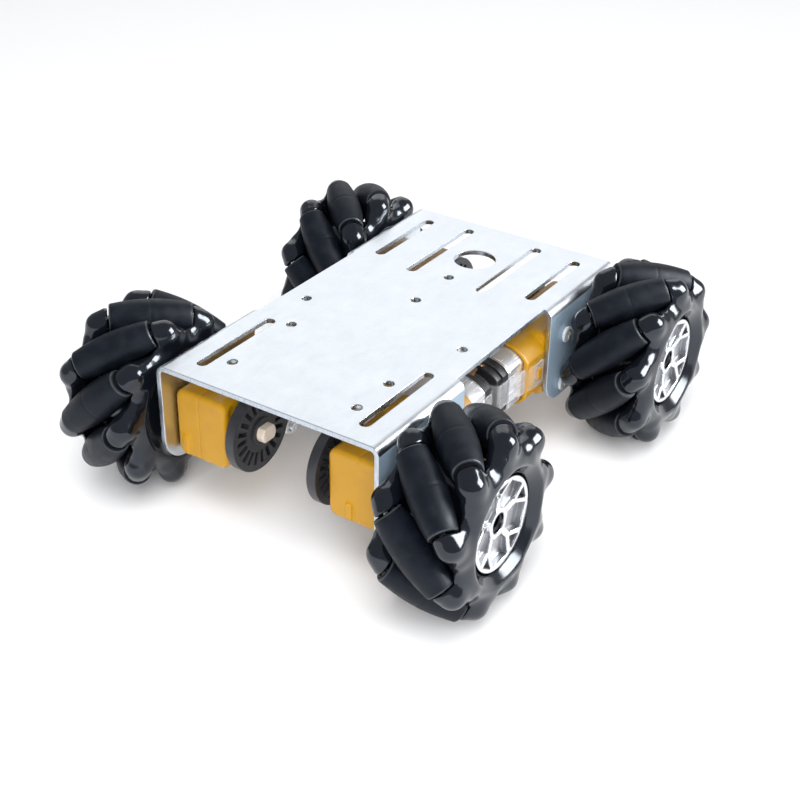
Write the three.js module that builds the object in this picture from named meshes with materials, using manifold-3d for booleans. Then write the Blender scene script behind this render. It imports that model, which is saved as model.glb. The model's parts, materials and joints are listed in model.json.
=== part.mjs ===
// Four wheel robot chassis: a folded sheet deck, four geared motors and four mecanum wheels.
// Millimetres. +X is the robot's right, +Y its rear, +Z up. The origin is on the ground under
// the middle of the deck. Each wheel turns about X, and each of its rollers about its own axis.
import * as THREE from "three";
import { mergeVertices } from "three/addons/utils/BufferGeometryUtils.js";
import Module from "manifold-3d";

// ---- Driving dimensions ----

// Layout
const AXLE_Y = 54; // half the wheelbase
const WHEEL_X = 56; // middle plane of each wheel
const WHEEL_RADIUS = 29.3; // envelope that the rollers share
const DECK_ABOVE_AXLE = 20.8; // axle to the deck's top face
const GAP = 0.3; // between pieces that touch
const OVERLAP = 1; // how far joined solids run into each other, and cuts run past a face

// Deck
const DECK_WIDTH = 78;
const DECK_LENGTH = 138;
const SHEET = 1.6;
const BEND_RADIUS = 3; // outside of each fold
const TAB_DROP = 34.4; // top face to the lower edge of the side tabs
const TAB_INNER_END = 25.7; // distance of each tab from the middle, along Y
const TAB_CORNER = 9;
const HOLE_RADIUS = 1.6;
const SLOT_WIDTH = 3.5;
const CABLE_HOLE = { y: 44, radius: 6.9 };
const SIDE_SLOT_X = 28.6;
const FRONT_SLOT = [-62, -27.6]; // ends along Y
const REAR_OUTER_SLOT = [29, 62];
const REAR_INNER_SLOT_X = 13.2;
const REAR_INNER_SLOT = [24.5, 63.5];
const DECK_HOLES = [
  [0, 27.8],
  [0, 8.3],
  [-SIDE_SLOT_X, -10.5],
  [SIDE_SLOT_X, -10.5],
  [-22, -27],
  [22, -39.3],
  [-22, -55],
  [22, -55],
];
const MOTOR_SCREW = { inward: 18.25, height: 8.75 }; // from the axle, along Y and Z
const AXLE_HOLE_RADIUS = 4.5;

// Geared motor
const GEARBOX = { width: 18.8, height: 22.5, corner: 2.5, pastAxle: 10, main: 27, length: 48.5 };
const COLLAR_RADIUS = 11.25;
const AXLE_BORE_RADIUS = 3.3;
const CAN = { radius: 10, flat: 7.55, length: 7.7 };
const END_CAP = { radius: 9.4, flat: 7.1, length: 6.2 };

// Output axle and encoder disc
const AXLE = { radius: 2.7, flat: 1.85, inner: 10.6, outer: 47 };
const DISC = { radius: 13, inner: 13, thickness: 3.2, bossRadius: 4, boss: 1.2 };
const DISC_SLOTS = { count: 20, from: 7.3, to: 10.6, width: 1.3 };

// Wheel
const ROLLERS = 9;
const ROLLER_TILT = Math.PI / 4;
const ROLLER_ORBIT = 23.65; // wheel axis to the middle of a roller's axis
const ROLLER_HALF = 12.35;
const ROLLER_BORE = 1.4;
const PIN_RADIUS = 1;
const FINGER = { start: ROLLER_HALF + 0.4, radius: 3.4, shoulder: 3.3, taper: 2.9, tip: 5.3 };
const FINGER_SINK = 1.3; // finger's centre line, inward of the roller's axis
const CAP = { radius: 14, back: 9.9, front: 12.9, hole: 3, rim: 12.8 };
const CAP_SEAT_RADIUS = CAP.radius + 0.4;
const SPOKES = 5;

// Windows of the cap, as [radius, degrees from the middle of a spoke]: half of the one between
// two spokes, which is alike on both sides, and the notch in the outer end of a spoke.
const HALF_WINDOW = [
  [4.8, 9.5],
  [8.5, 5.8],
  [CAP.rim, 21],
];
const SPOKE_NOTCH = [
  [10, 0],
  [CAP.rim, 12],
  [CAP.rim, -12],
];

// Section of the hub as [radius, X from the wheel's middle], inboard face first, as a closed loop.
const HUB_SECTION = [
  [3, -14], // bore for the output axle
  [5.5, -14], // boss
  [5.5, -11.4],
  [14, -11.4], // inboard flange
  [17.6, -14.3],
  [18.8, -14.3],
  [23.7, -12.3],
  [20.6, -11.6],
  [15.5, -8.5], // drum under the rollers
  [15.5, 8.5],
  [20.6, 11.6], // outboard flange
  [23.7, 12.3],
  [18.8, 15.4],
  [17.6, 15.4],
  [CAP_SEAT_RADIUS, CAP.front], // seat of the cap
  [CAP_SEAT_RADIUS, CAP.back - GAP],
  [1.3, CAP.back - GAP], // hole for the wheel's screw
  [1.3, -8],
  [3, -8],
  [3, -14],
];

// Facets round a circle
const ROLLER_SIDES = 10;
const HUB_SIDES = 18;
const FINGER_SIDES = 6;
const PIN_SIDES = 6;
const DISC_SIDES = 20;
const HOLE_SIDES = 8;
const ARC_SEGMENTS = 2;
const SMALL_ARC_SEGMENTS = 1;

const AXLE_Z = WHEEL_RADIUS;
const DECK_TOP = AXLE_Z + DECK_ABOVE_AXLE;
const TAB_INSIDE = DECK_WIDTH / 2 - SHEET;
const GEARBOX_MIDDLE = TAB_INSIDE - GAP - GEARBOX.width / 2;
const GEARBOX_END = GEARBOX.length - GEARBOX.pastAxle;
const STEP = (2 * Math.PI) / ROLLERS;

const wasm = await Module();
wasm.setup();

// ---- Booleans ----

function toSolid(geometry) {
  const bare = geometry.clone();
  bare.deleteAttribute("normal");
  bare.deleteAttribute("uv");
  const merged = mergeVertices(bare, 1e-4);
  return new wasm.Manifold(
    new wasm.Mesh({
      numProp: 3,
      vertProperties: merged.attributes.position.array,
      triVerts: new Uint32Array(merged.index.array),
    }),
  );
}

function toGeometry(solid) {
  const mesh = solid.getMesh();
  const geometry = new THREE.BufferGeometry();
  geometry.setAttribute("position", new THREE.BufferAttribute(mesh.vertProperties, 3));
  geometry.setIndex(new THREE.BufferAttribute(mesh.triVerts, 1));
  return geometry;
}

// ---- Shapes ----

function circlePath(x, y, radius, sides, PathClass = THREE.Path) {
  const corners = Array.from({ length: sides }, (_, i) => {
    const angle = (2 * Math.PI * i) / sides;
    return new THREE.Vector2(x + radius * Math.cos(angle), y + radius * Math.sin(angle));
  });
  return new PathClass(corners);
}

function slotPath(x, [from, to], width) {
  const radius = width / 2;
  const path = new THREE.Path();
  path.absarc(x, to - radius, radius, 0, Math.PI);
  path.absarc(x, from + radius, radius, Math.PI, 2 * Math.PI);
  path.closePath();
  return path;
}

function roundedRectangle(halfWidth, halfHeight, radius) {
  const shape = new THREE.Shape();
  const x = halfWidth - radius;
  const y = halfHeight - radius;
  shape.absarc(x, y, radius, 0, Math.PI / 2);
  shape.absarc(-x, y, radius, Math.PI / 2, Math.PI);
  shape.absarc(-x, -y, radius, Math.PI, 1.5 * Math.PI);
  shape.absarc(x, -y, radius, 1.5 * Math.PI, 2 * Math.PI);
  shape.closePath();
  return shape;
}

// A circle with two flats at x = +flat and -flat.
function flattedCircle(radius, flat) {
  const corner = Math.acos(flat / radius);
  const shape = new THREE.Shape();
  shape.absarc(0, 0, radius, corner, Math.PI - corner);
  shape.absarc(0, 0, radius, Math.PI + corner, 2 * Math.PI - corner);
  shape.closePath();
  return shape;
}

function extrude(shape, depth, curveSegments = ARC_SEGMENTS) {
  return new THREE.ExtrudeGeometry(shape, { depth, curveSegments, bevelEnabled: false });
}

// An outline drawn in (Y, Z), extruded along X from one place to another.
function extrudeAlongX(shape, from, to, curveSegments) {
  const geometry = extrude(shape, to - from, curveSegments);
  geometry.applyMatrix4(
    new THREE.Matrix4().makeBasis(
      new THREE.Vector3(0, 1, 0),
      new THREE.Vector3(0, 0, 1),
      new THREE.Vector3(1, 0, 0),
    ),
  );
  return geometry.translate(from, 0, 0);
}

// An outline drawn in (X, Z), extruded along Y from one place to another.
function extrudeAlongY(shape, from, to, curveSegments) {
  const geometry = extrude(shape, to - from, curveSegments);
  return geometry.rotateX(Math.PI / 2).translate(0, to, 0);
}

// ---- Materials ----

const materials = {
  deck: { color: 0xdfe3e9, roughness: 0.35, metalness: 0.9 },
  gearbox: { color: 0xf0a818, roughness: 0.4, metalness: 0 },
  can: { color: 0xc9cbce, roughness: 0.25, metalness: 1 },
  axle: { color: 0xe6ddd2, roughness: 0.5, metalness: 0 },
  hub: { color: 0x0d0f13, roughness: 0.15, metalness: 0 },
  cap: { color: 0xe8e8ea, roughness: 0.1, metalness: 1 },
  roller: { color: 0x202428, roughness: 0.75, metalness: 0 },
};

function piece(name, geometry, look) {
  const mesh = new THREE.Mesh(geometry, new THREE.MeshStandardMaterial(materials[look]));
  mesh.name = name;
  return mesh;
}

// ---- Deck ----

// Section of the folded sheet in (X, Z), with its top face at z = 0.
function foldedSection() {
  const edge = DECK_WIDTH / 2;
  const bend = edge - BEND_RADIUS;
  const inner = BEND_RADIUS - SHEET;
  const shape = new THREE.Shape();
  shape.moveTo(-edge, -TAB_DROP);
  shape.lineTo(-TAB_INSIDE, -TAB_DROP);
  shape.absarc(-bend, -BEND_RADIUS, inner, Math.PI, Math.PI / 2, true);
  shape.absarc(bend, -BEND_RADIUS, inner, Math.PI / 2, 0, true);
  shape.lineTo(TAB_INSIDE, -TAB_DROP);
  shape.lineTo(edge, -TAB_DROP);
  shape.absarc(bend, -BEND_RADIUS, BEND_RADIUS, 0, Math.PI / 2);
  shape.absarc(-bend, -BEND_RADIUS, BEND_RADIUS, Math.PI / 2, Math.PI);
  shape.closePath();
  return shape;
}

// Side view of one pair of tabs in (Y, Z), with the axle and motor screw holes.
function tabOutline(end) {
  const outer = DECK_LENGTH / 2;
  const arcZ = TAB_CORNER - TAB_DROP;
  const shape = new THREE.Shape();
  shape.moveTo(TAB_INNER_END, OVERLAP);
  shape.lineTo(TAB_INNER_END, arcZ);
  shape.absarc(TAB_INNER_END + TAB_CORNER, arcZ, TAB_CORNER, Math.PI, 1.5 * Math.PI);
  shape.absarc(outer - TAB_CORNER, arcZ, TAB_CORNER, 1.5 * Math.PI, 2 * Math.PI);
  shape.lineTo(outer, OVERLAP);
  shape.closePath();
  const axle = -DECK_ABOVE_AXLE;
  const screwY = AXLE_Y - MOTOR_SCREW.inward;
  shape.holes.push(circlePath(AXLE_Y, axle, AXLE_HOLE_RADIUS, HOLE_SIDES));
  shape.holes.push(circlePath(screwY, axle + MOTOR_SCREW.height, HOLE_RADIUS, HOLE_SIDES));
  shape.holes.push(circlePath(screwY, axle - MOTOR_SCREW.height, HOLE_RADIUS, HOLE_SIDES));
  const half = DECK_WIDTH / 2 + OVERLAP;
  const block = extrudeAlongX(shape, -half, half);
  return toSolid(end > 0 ? block : block.rotateZ(Math.PI));
}

// The flat between the tabs, and everything cut through the deck's face.
function deckFlat() {
  const shape = new THREE.Shape();
  const x = DECK_WIDTH / 2 - BEND_RADIUS;
  const y = DECK_LENGTH / 2;
  shape.moveTo(-x, -y).lineTo(x, -y).lineTo(x, y).lineTo(-x, y).closePath();
  for (const side of [-1, 1]) {
    shape.holes.push(slotPath(side * SIDE_SLOT_X, FRONT_SLOT, SLOT_WIDTH));
    shape.holes.push(slotPath(side * SIDE_SLOT_X, REAR_OUTER_SLOT, SLOT_WIDTH));
    shape.holes.push(slotPath(side * REAR_INNER_SLOT_X, REAR_INNER_SLOT, SLOT_WIDTH));
  }
  for (const [holeX, holeY] of DECK_HOLES)
    shape.holes.push(circlePath(holeX, holeY, HOLE_RADIUS, HOLE_SIDES));
  shape.holes.push(circlePath(0, CABLE_HOLE.y, CABLE_HOLE.radius, 2 * HOLE_SIDES));
  return toSolid(extrude(shape, SHEET).translate(0, 0, -SHEET));
}

function chassisPlate() {
  const bend = DECK_WIDTH / 2 - BEND_RADIUS;
  const half = DECK_LENGTH / 2;
  const folded = toSolid(extrudeAlongY(foldedSection(), -half, half));
  const length = DECK_LENGTH + 2 * OVERLAP;
  const middle = toSolid(new THREE.BoxGeometry(2 * bend, length, 4 * SHEET));
  const folds = folded.subtract(middle);
  const tabs = folds.intersect(tabOutline(1)).add(folds.intersect(tabOutline(-1)));
  return toGeometry(deckFlat().add(tabs));
}

// ---- Geared motor: +X points outboard and +Y from the axle towards the motor ----

function gearbox() {
  const box = roundedRectangle(GEARBOX.width / 2, GEARBOX.height / 2, GEARBOX.corner);
  const body = extrudeAlongY(box, -GEARBOX.pastAxle, GEARBOX.main, SMALL_ARC_SEGMENTS);
  const ring = flattedCircle(COLLAR_RADIUS, GEARBOX.width / 2);
  const collar = extrudeAlongY(ring, GEARBOX.main - OVERLAP, GEARBOX_END);
  const bores = [
    circlePath(0, 0, AXLE_BORE_RADIUS, HOLE_SIDES, THREE.Shape),
    circlePath(MOTOR_SCREW.inward, MOTOR_SCREW.height, HOLE_RADIUS, HOLE_SIDES, THREE.Shape),
    circlePath(MOTOR_SCREW.inward, -MOTOR_SCREW.height, HOLE_RADIUS, HOLE_SIDES, THREE.Shape),
  ];
  let solid = toSolid(body).add(toSolid(collar));
  for (const bore of bores)
    solid = solid.subtract(toSolid(extrudeAlongX(bore, -GEARBOX.width, GEARBOX.width)));
  return toGeometry(solid).translate(GEARBOX_MIDDLE, 0, 0);
}

function motor() {
  const start = GEARBOX_END + GAP;
  const seam = start + CAN.length;
  const end = seam + END_CAP.length;
  const can = extrudeAlongY(flattedCircle(CAN.radius, CAN.flat), start, seam);
  const cap = extrudeAlongY(flattedCircle(END_CAP.radius, END_CAP.flat), seam - OVERLAP, end);
  return toGeometry(toSolid(can).add(toSolid(cap))).translate(GEARBOX_MIDDLE, 0, 0);
}

function axleAndEncoderDisc() {
  const disc = circlePath(0, 0, DISC.radius, DISC_SIDES, THREE.Shape);
  const half = DISC_SLOTS.width / 2;
  for (let i = 0; i < DISC_SLOTS.count; i++) {
    const corners = [
      [DISC_SLOTS.from, -half],
      [DISC_SLOTS.to, -half],
      [DISC_SLOTS.to, half],
      [DISC_SLOTS.from, half],
    ].map(([x, y]) => new THREE.Vector2(x, y));
    const turn = (2 * Math.PI * i) / DISC_SLOTS.count;
    corners.forEach((corner) => corner.rotateAround(new THREE.Vector2(), turn));
    disc.holes.push(new THREE.Path(corners));
  }
  const plate = extrudeAlongX(disc, DISC.inner, DISC.inner + DISC.thickness);
  const ring = circlePath(0, 0, DISC.bossRadius, HOLE_SIDES, THREE.Shape);
  const boss = extrudeAlongX(ring, DISC.inner - DISC.boss, DISC.inner + OVERLAP);
  // The flats of the axle face up and down.
  const section = flattedCircle(AXLE.radius, AXLE.flat);
  const axle = extrudeAlongX(section, AXLE.inner, AXLE.outer, SMALL_ARC_SEGMENTS);
  axle.rotateX(Math.PI / 2);
  return toGeometry(toSolid(plate).add(toSolid(boss)).add(toSolid(axle)));
}

// ---- Mecanum wheel: axis along X, +X outboard. hand is +1 or -1 for the two tilts ----

// Radius of a roller at a distance along its own axis, so that every roller meets one cylinder.
function rollerRadius(along) {
  return WHEEL_RADIUS - Math.hypot(ROLLER_ORBIT, along * Math.sin(ROLLER_TILT));
}

// Turns a lathe's axis onto a roller's axis, with its facet 0 facing away from the wheel's axis.
function rollerBasis(hand) {
  const axis = new THREE.Vector3(Math.cos(ROLLER_TILT), 0, hand * Math.sin(ROLLER_TILT));
  const outward = new THREE.Vector3(0, 1, 0);
  const across = new THREE.Vector3().crossVectors(axis, outward);
  return new THREE.Matrix4().makeBasis(across, axis, outward);
}

function lathe(points, sides, start = 0) {
  const profile = points.map(([radius, along]) => new THREE.Vector2(radius, along));
  return new THREE.LatheGeometry(profile, sides, start);
}

// The facets touch the true barrel from outside, so that a flat one meets the ground.
function roller(hand) {
  const grow = 1 / Math.cos(Math.PI / ROLLER_SIDES);
  const barrel = [-1, -0.5, 0, 0.5, 1].map((share) => {
    const along = share * ROLLER_HALF;
    return [rollerRadius(along) * grow, along];
  });
  const bore = [
    [ROLLER_BORE, ROLLER_HALF],
    [ROLLER_BORE, -ROLLER_HALF],
  ];
  const points = [...barrel, ...bore, barrel[0]];
  return lathe(points, ROLLER_SIDES, Math.PI / ROLLER_SIDES).applyMatrix4(rollerBasis(hand));
}

// One finger beyond a roller's end: end is +1 outboard and -1 inboard.
function finger(hand, end) {
  const profile = [
    [0, 0],
    [FINGER.radius, 0],
    [FINGER.shoulder, FINGER.taper],
    [0, FINGER.tip],
  ];
  const geometry = lathe(profile, FINGER_SIDES, Math.PI / FINGER_SIDES);
  geometry.translate(0, FINGER.start, 0);
  if (end < 0) geometry.rotateX(Math.PI);
  geometry.applyMatrix4(rollerBasis(hand));
  const sideways = end * hand * FINGER.start * Math.sin(ROLLER_TILT);
  const inward = new THREE.Vector3(0, ROLLER_ORBIT, sideways).setLength(-FINGER_SINK);
  return geometry.translate(inward.x, inward.y + ROLLER_ORBIT, inward.z);
}

function rollerPin(hand) {
  const half = FINGER.start + FINGER.taper / 2;
  const pin = lathe([[0, -half], [PIN_RADIUS, -half], [PIN_RADIUS, half], [0, half]], PIN_SIDES);
  return pin.applyMatrix4(rollerBasis(hand)).translate(0, ROLLER_ORBIT, 0);
}

function wheelHub(hand) {
  // A lathe turns about Y, so the hub's section is turned over onto X.
  const body = lathe(HUB_SECTION, HUB_SIDES).rotateZ(-Math.PI / 2);
  let solid = toSolid(body);
  for (let i = 0; i < ROLLERS; i++) {
    for (const geometry of [finger(hand, 1), finger(hand, -1), rollerPin(hand)])
      solid = solid.add(toSolid(geometry.rotateX(i * STEP)));
  }
  return toGeometry(solid);
}

// Chromed cap with a rim and forked spokes.
function hubCap() {
  const disc = circlePath(0, 0, CAP.radius, HUB_SIDES, THREE.Shape);
  disc.holes.push(circlePath(0, 0, CAP.hole, HOLE_SIDES));
  const pitch = 360 / SPOKES;
  const otherHalf = HALF_WINDOW.map(([radius, degrees]) => [radius, pitch - degrees]);
  const windows = [[...HALF_WINDOW, ...otherHalf.reverse()], SPOKE_NOTCH];
  for (let i = 0; i < SPOKES; i++) {
    for (const window of windows) {
      const corners = window.map(([radius, degrees]) => {
        const angle = THREE.MathUtils.degToRad(degrees + i * pitch);
        return new THREE.Vector2(radius * Math.cos(angle), radius * Math.sin(angle));
      });
      disc.holes.push(new THREE.Path(corners));
    }
  }
  return extrudeAlongX(disc, CAP.back, CAP.front);
}

// ---- Assembly ----

// side is +1 on the right, end is +1 at the rear. phase is the turn of the wheel as it stands.
const CORNERS = [
  { name: "front_left", side: -1, end: -1, phase: 15.3 },
  { name: "front_right", side: 1, end: -1, phase: 19.3 },
  { name: "rear_left", side: -1, end: 1, phase: 36.4 },
  { name: "rear_right", side: 1, end: 1, phase: 35.2 },
];

function driveUnit({ name, side, end }) {
  const unit = new THREE.Group();
  unit.position.set(0, end * AXLE_Y, AXLE_Z);
  // The four units are alike: each is turned over or about so that its motor faces the middle.
  if (side > 0 && end > 0) unit.rotation.x = Math.PI;
  if (side < 0 && end < 0) unit.rotation.y = Math.PI;
  if (side < 0 && end > 0) unit.rotation.z = Math.PI;
  unit.add(piece(`${name}_gearbox`, gearbox(), "gearbox"));
  unit.add(piece(`${name}_motor`, motor(), "can"));
  unit.add(piece(`${name}_axle_and_encoder_disc`, axleAndEncoderDisc(), "axle"));
  return unit;
}

function wheel({ name, side, end, phase }) {
  const hand = -side * end;
  const group = new THREE.Group();
  group.position.set(side * WHEEL_X, end * AXLE_Y, AXLE_Z);
  if (side < 0) group.rotation.z = Math.PI;
  const spin = new THREE.Group();
  spin.rotation.x = THREE.MathUtils.degToRad(phase);
  group.add(spin);
  spin.add(piece(`${name}_wheel_hub`, wheelHub(hand), "hub"));
  spin.add(piece(`${name}_hub_cap`, hubCap(), "cap"));
  for (let i = 0; i < ROLLERS; i++) {
    const seat = new THREE.Group();
    seat.rotation.x = i * STEP;
    const barrel = piece(`${name}_roller_${i + 1}`, roller(hand), "roller");
    barrel.position.y = ROLLER_ORBIT;
    seat.add(barrel);
    spin.add(seat);
  }
  return group;
}

const chassis = new THREE.Group();
const plate = piece("chassis_plate", chassisPlate(), "deck");
plate.position.z = DECK_TOP;
chassis.add(plate);
for (const corner of CORNERS) {
  chassis.add(driveUnit(corner));
  chassis.add(wheel(corner));
}

export default chassis;
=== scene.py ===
import json
import math

import bmesh
import bpy
import numpy as np
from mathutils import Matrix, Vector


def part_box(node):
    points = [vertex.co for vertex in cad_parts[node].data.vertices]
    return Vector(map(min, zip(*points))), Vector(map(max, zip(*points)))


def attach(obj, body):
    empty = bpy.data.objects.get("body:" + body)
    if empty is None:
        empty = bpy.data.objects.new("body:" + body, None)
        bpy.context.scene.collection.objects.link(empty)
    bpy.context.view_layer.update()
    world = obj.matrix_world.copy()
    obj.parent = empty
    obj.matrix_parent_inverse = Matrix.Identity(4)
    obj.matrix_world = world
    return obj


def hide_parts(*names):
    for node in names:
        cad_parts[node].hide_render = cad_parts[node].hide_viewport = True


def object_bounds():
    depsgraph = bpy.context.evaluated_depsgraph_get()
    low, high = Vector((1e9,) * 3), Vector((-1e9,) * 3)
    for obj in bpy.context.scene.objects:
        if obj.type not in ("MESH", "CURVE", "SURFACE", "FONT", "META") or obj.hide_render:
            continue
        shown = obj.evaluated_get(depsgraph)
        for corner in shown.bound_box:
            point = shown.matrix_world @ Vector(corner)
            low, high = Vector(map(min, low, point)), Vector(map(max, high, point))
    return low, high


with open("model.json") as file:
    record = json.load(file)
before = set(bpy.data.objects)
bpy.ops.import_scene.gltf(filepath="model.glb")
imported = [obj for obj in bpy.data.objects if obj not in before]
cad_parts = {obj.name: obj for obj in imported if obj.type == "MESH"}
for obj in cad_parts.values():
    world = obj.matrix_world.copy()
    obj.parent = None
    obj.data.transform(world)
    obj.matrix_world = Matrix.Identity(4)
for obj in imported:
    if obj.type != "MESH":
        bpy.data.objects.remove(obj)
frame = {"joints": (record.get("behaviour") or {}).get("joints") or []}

import openvdb
from mathutils import Matrix, Vector

CAD_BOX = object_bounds()
JOINTS = {j["name"]: j for j in frame["joints"]}
MM = 0.001
SCENE = bpy.context.scene

# ---- Dimensions, in millimetres ----

# Deck
DECK_WIDTH = 78
DECK_LENGTH = 138
SHEET = 1.6
BEND_RADIUS = 3
BEND_START = DECK_WIDTH / 2 - BEND_RADIUS
BEND_LENGTH = BEND_RADIUS * math.pi / 2
TAB_DROP = 34.4
TAB_INNER_END = 25.7
TAB_CORNER = 9
TAB_INSIDE = DECK_WIDTH / 2 - SHEET
FOLD_STEPS = 10
DECK_ABOVE_AXLE = 20.8
AXLE_Y = 54
HOLE_RADIUS = 1.6
SLOT_WIDTH = 3.5
AXLE_HOLE_RADIUS = 4.5
SCREW_INWARD = 18.25
SCREW_HEIGHT = 8.75
SIDE_SLOT_X = 28.6
REAR_INNER_SLOT_X = 13.2
FRONT_SLOT = (-62, -27.6)
REAR_OUTER_SLOT = (29, 62)
REAR_INNER_SLOT = (24.5, 63.5)
CABLE_HOLE_Y = 44
CABLE_HOLE_RADIUS = 6.9
DECK_HOLES = (
    (0, 27.8),
    (0, 8.3),
    (-SIDE_SLOT_X, -10.5),
    (SIDE_SLOT_X, -10.5),
    (-22, -27),
    (22, -39.3),
    (-22, -55),
    (22, -55),
)

# Geared motor, in its own frame: X outboard, Y from the axle towards the motor
GAP = 0.3  # between the gearbox and the tab
GEARBOX_WIDTH = 18.8
GEARBOX_HEIGHT = 22.5
GEARBOX_X = TAB_INSIDE - GAP - GEARBOX_WIDTH / 2
GEARBOX_FRONT = -10
GEARBOX_MAIN = 27
GEARBOX_END = 38.5
GEARBOX_CORNER = 3
BAR_HALF, BAR_FRONT, BAR_BACK = 1.1, -10.8, -9
COLLAR_RADIUS = 11.25
CAN_RADIUS, CAN_FLAT, CAN_END = 10, 7.55, 46.5
END_CAP_RADIUS, END_CAP_FLAT, END_CAP_END = 9.4, 7.1, 52.4
AXLE_RADIUS, AXLE_FLAT, AXLE_INNER, AXLE_OUTER = 2.7, 1.85, 10.6, 47
AXLE_BORE_RADIUS = 3.3
DISC_RADIUS, DISC_INNER, DISC_THICKNESS = 13, 13, 3.2
DISC_BOSS_RADIUS, DISC_BOSS_PROUD = 4.4, 0.7
DISC_SLOTS, DISC_SLOT_FROM, DISC_SLOT_TO, DISC_SLOT_WIDTH = 20, 6.8, 10.8, 1.3

# Wheel, in its own frame: X outboard, Y towards the middle of roller 1
WHEEL_RADIUS = 29.3
ROLLERS = 9
ROLLER_ORBIT = 23.65
ROLLER_HALF = 12.35
ROLLER_FULLER = 0.18
TILT = math.pi / 4
PITCH = 2 * math.pi / ROLLERS
PIN_RADIUS, PIN_HALF = 1, 13.9
CAP_RADIUS, CAP_BACK, CAP_FRONT, CAP_HOLE, CAP_RIM = 14, 9.9, 12.9, 3, 12.8
CAP_SINK, CAP_SINK_RADIUS = 1.7, 12.6
SATIN_RADIUS, SATIN_DEPTH = 13.2, 0.55
SPOKES = 5

# Each corner's name, its side (1 is right) and its end (1 is rear)
CORNERS = [
    ("front_left", -1, -1),
    ("front_right", 1, -1),
    ("rear_left", -1, 1),
    ("rear_right", 1, 1),
]


# ---- Meshes ----


def mesh_from(name, points, faces, sharp=32):
    """A closed mesh from points in millimetres, smooth but for edges sharper than that angle."""
    mesh = bpy.data.meshes.new(name)
    mesh.from_pydata((np.asarray(points, float) * MM).tolist(), [], [list(f) for f in faces])
    bm = bmesh.new()
    bm.from_mesh(mesh)
    bmesh.ops.remove_doubles(bm, verts=bm.verts, dist=1e-7)
    bmesh.ops.recalc_face_normals(bm, faces=bm.faces)
    bm.to_mesh(mesh)
    bm.free()
    return shaded(mesh, sharp)


def shaded(mesh, sharp=32):
    """Smooth shading but for edges sharper than that angle, in degrees."""
    mesh.polygons.foreach_set("use_smooth", [True] * len(mesh.polygons))
    mesh.set_sharp_from_angle(angle=math.radians(sharp))
    return mesh


def joined(name, meshes):
    """One mesh out of several, which keep their own material indices."""
    bm = bmesh.new()
    for mesh in meshes:
        bm.from_mesh(mesh)
    mesh = bpy.data.meshes.new(name)
    bm.to_mesh(mesh)
    bm.free()
    return shaded(mesh)


def moved(mesh, matrix):
    """A copy of a mesh, moved by a matrix in millimetres."""
    copy = mesh.copy()
    scale = Matrix.Scale(MM, 4)
    copy.transform(scale @ matrix @ scale.inverted())
    return copy


def rounded(points, radius, steps=4, closed=True):
    """An outline with its corners turned into small curves. A corner's own radius may follow it."""
    out = []
    n = len(points)
    for i, point in enumerate(points):
        p = np.array(point[:2], float)
        if not closed and i in (0, n - 1):
            out.append(p)
            continue
        before = np.array(points[i - 1][:2], float) - p
        after = np.array(points[(i + 1) % n][:2], float) - p
        la, lb = np.linalg.norm(before), np.linalg.norm(after)
        r = point[2] if len(point) > 2 else radius
        reach = min(r, 0.45 * la, 0.45 * lb)
        if reach < 1e-4:
            out.append(p)
            continue
        a, b = p + before / la * reach, p + after / lb * reach
        for k in range(steps + 1):
            t = k / steps
            out.append((1 - t) ** 2 * a + 2 * t * (1 - t) * p + t**2 * b)
    return np.array(out)


def lathe(name, profile, sides=64, sharp=32):
    """A closed outline of (radius, x), turned about X."""
    profile = np.asarray(profile, float)
    turn = 2 * np.pi * np.arange(sides) / sides
    n = len(profile)
    points = [(x, r * math.cos(t), r * math.sin(t)) for t in turn for r, x in profile]
    faces = []
    for i in range(sides):
        for j in range(n):
            a, b = i * n + j, i * n + (j + 1) % n
            c, d = ((i + 1) % sides) * n + (j + 1) % n, ((i + 1) % sides) * n + j
            faces.append((a, b, c, d))
    return mesh_from(name, points, faces, sharp)


def plate(name, loops, low, high, bevel=0.2, steps=2):
    """Flat loops, the first one the outline, thickened along Z with all its edges rounded."""
    curve = bpy.data.curves.new(name, "CURVE")
    curve.dimensions = "2D"
    curve.fill_mode = "BOTH"
    curve.extrude = (high - low) / 2 - bevel
    curve.bevel_depth = bevel
    curve.bevel_resolution = steps
    curve.offset = -bevel
    for loop in loops:
        spline = curve.splines.new("POLY")
        spline.points.add(len(loop) - 1)
        for point, (x, y) in zip(spline.points, loop):
            point.co = (x, y, 0, 1)
        spline.use_cyclic_u = True
    holder = bpy.data.objects.new(name, curve)
    SCENE.collection.objects.link(holder)
    depsgraph = bpy.context.evaluated_depsgraph_get()
    raw = bpy.data.meshes.new_from_object(holder.evaluated_get(depsgraph))
    bpy.data.objects.remove(holder)
    bpy.data.curves.remove(curve)
    points = np.array([v.co for v in raw.vertices]) + (0, 0, (low + high) / 2)
    faces = [tuple(p.vertices) for p in raw.polygons]
    bpy.data.meshes.remove(raw)
    return mesh_from(name, points, faces)


def circle(x, y, radius, sides=48):
    turn = 2 * np.pi * np.arange(sides) / sides
    return np.stack([x + radius * np.cos(turn), y + radius * np.sin(turn)], 1)


def arc(x, y, radius, start, end, steps=12):
    turn = np.radians(np.linspace(start, end, steps + 1))
    return np.stack([x + radius * np.cos(turn), y + radius * np.sin(turn)], 1)


def slot_loop(x, ends, width):
    """A slot with round ends, along Y."""
    r = width / 2
    top = arc(x, ends[1] - r, r, 0, 180)
    bottom = arc(x, ends[0] + r, r, 180, 360)
    return np.concatenate([top, bottom])


def flatted(radius, flat):
    """A circle with two flats at x = flat and -flat."""
    corner = math.degrees(math.acos(flat / radius))
    top = arc(0, 0, radius, corner, 180 - corner, 24)
    return np.concatenate([top, -top])


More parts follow.
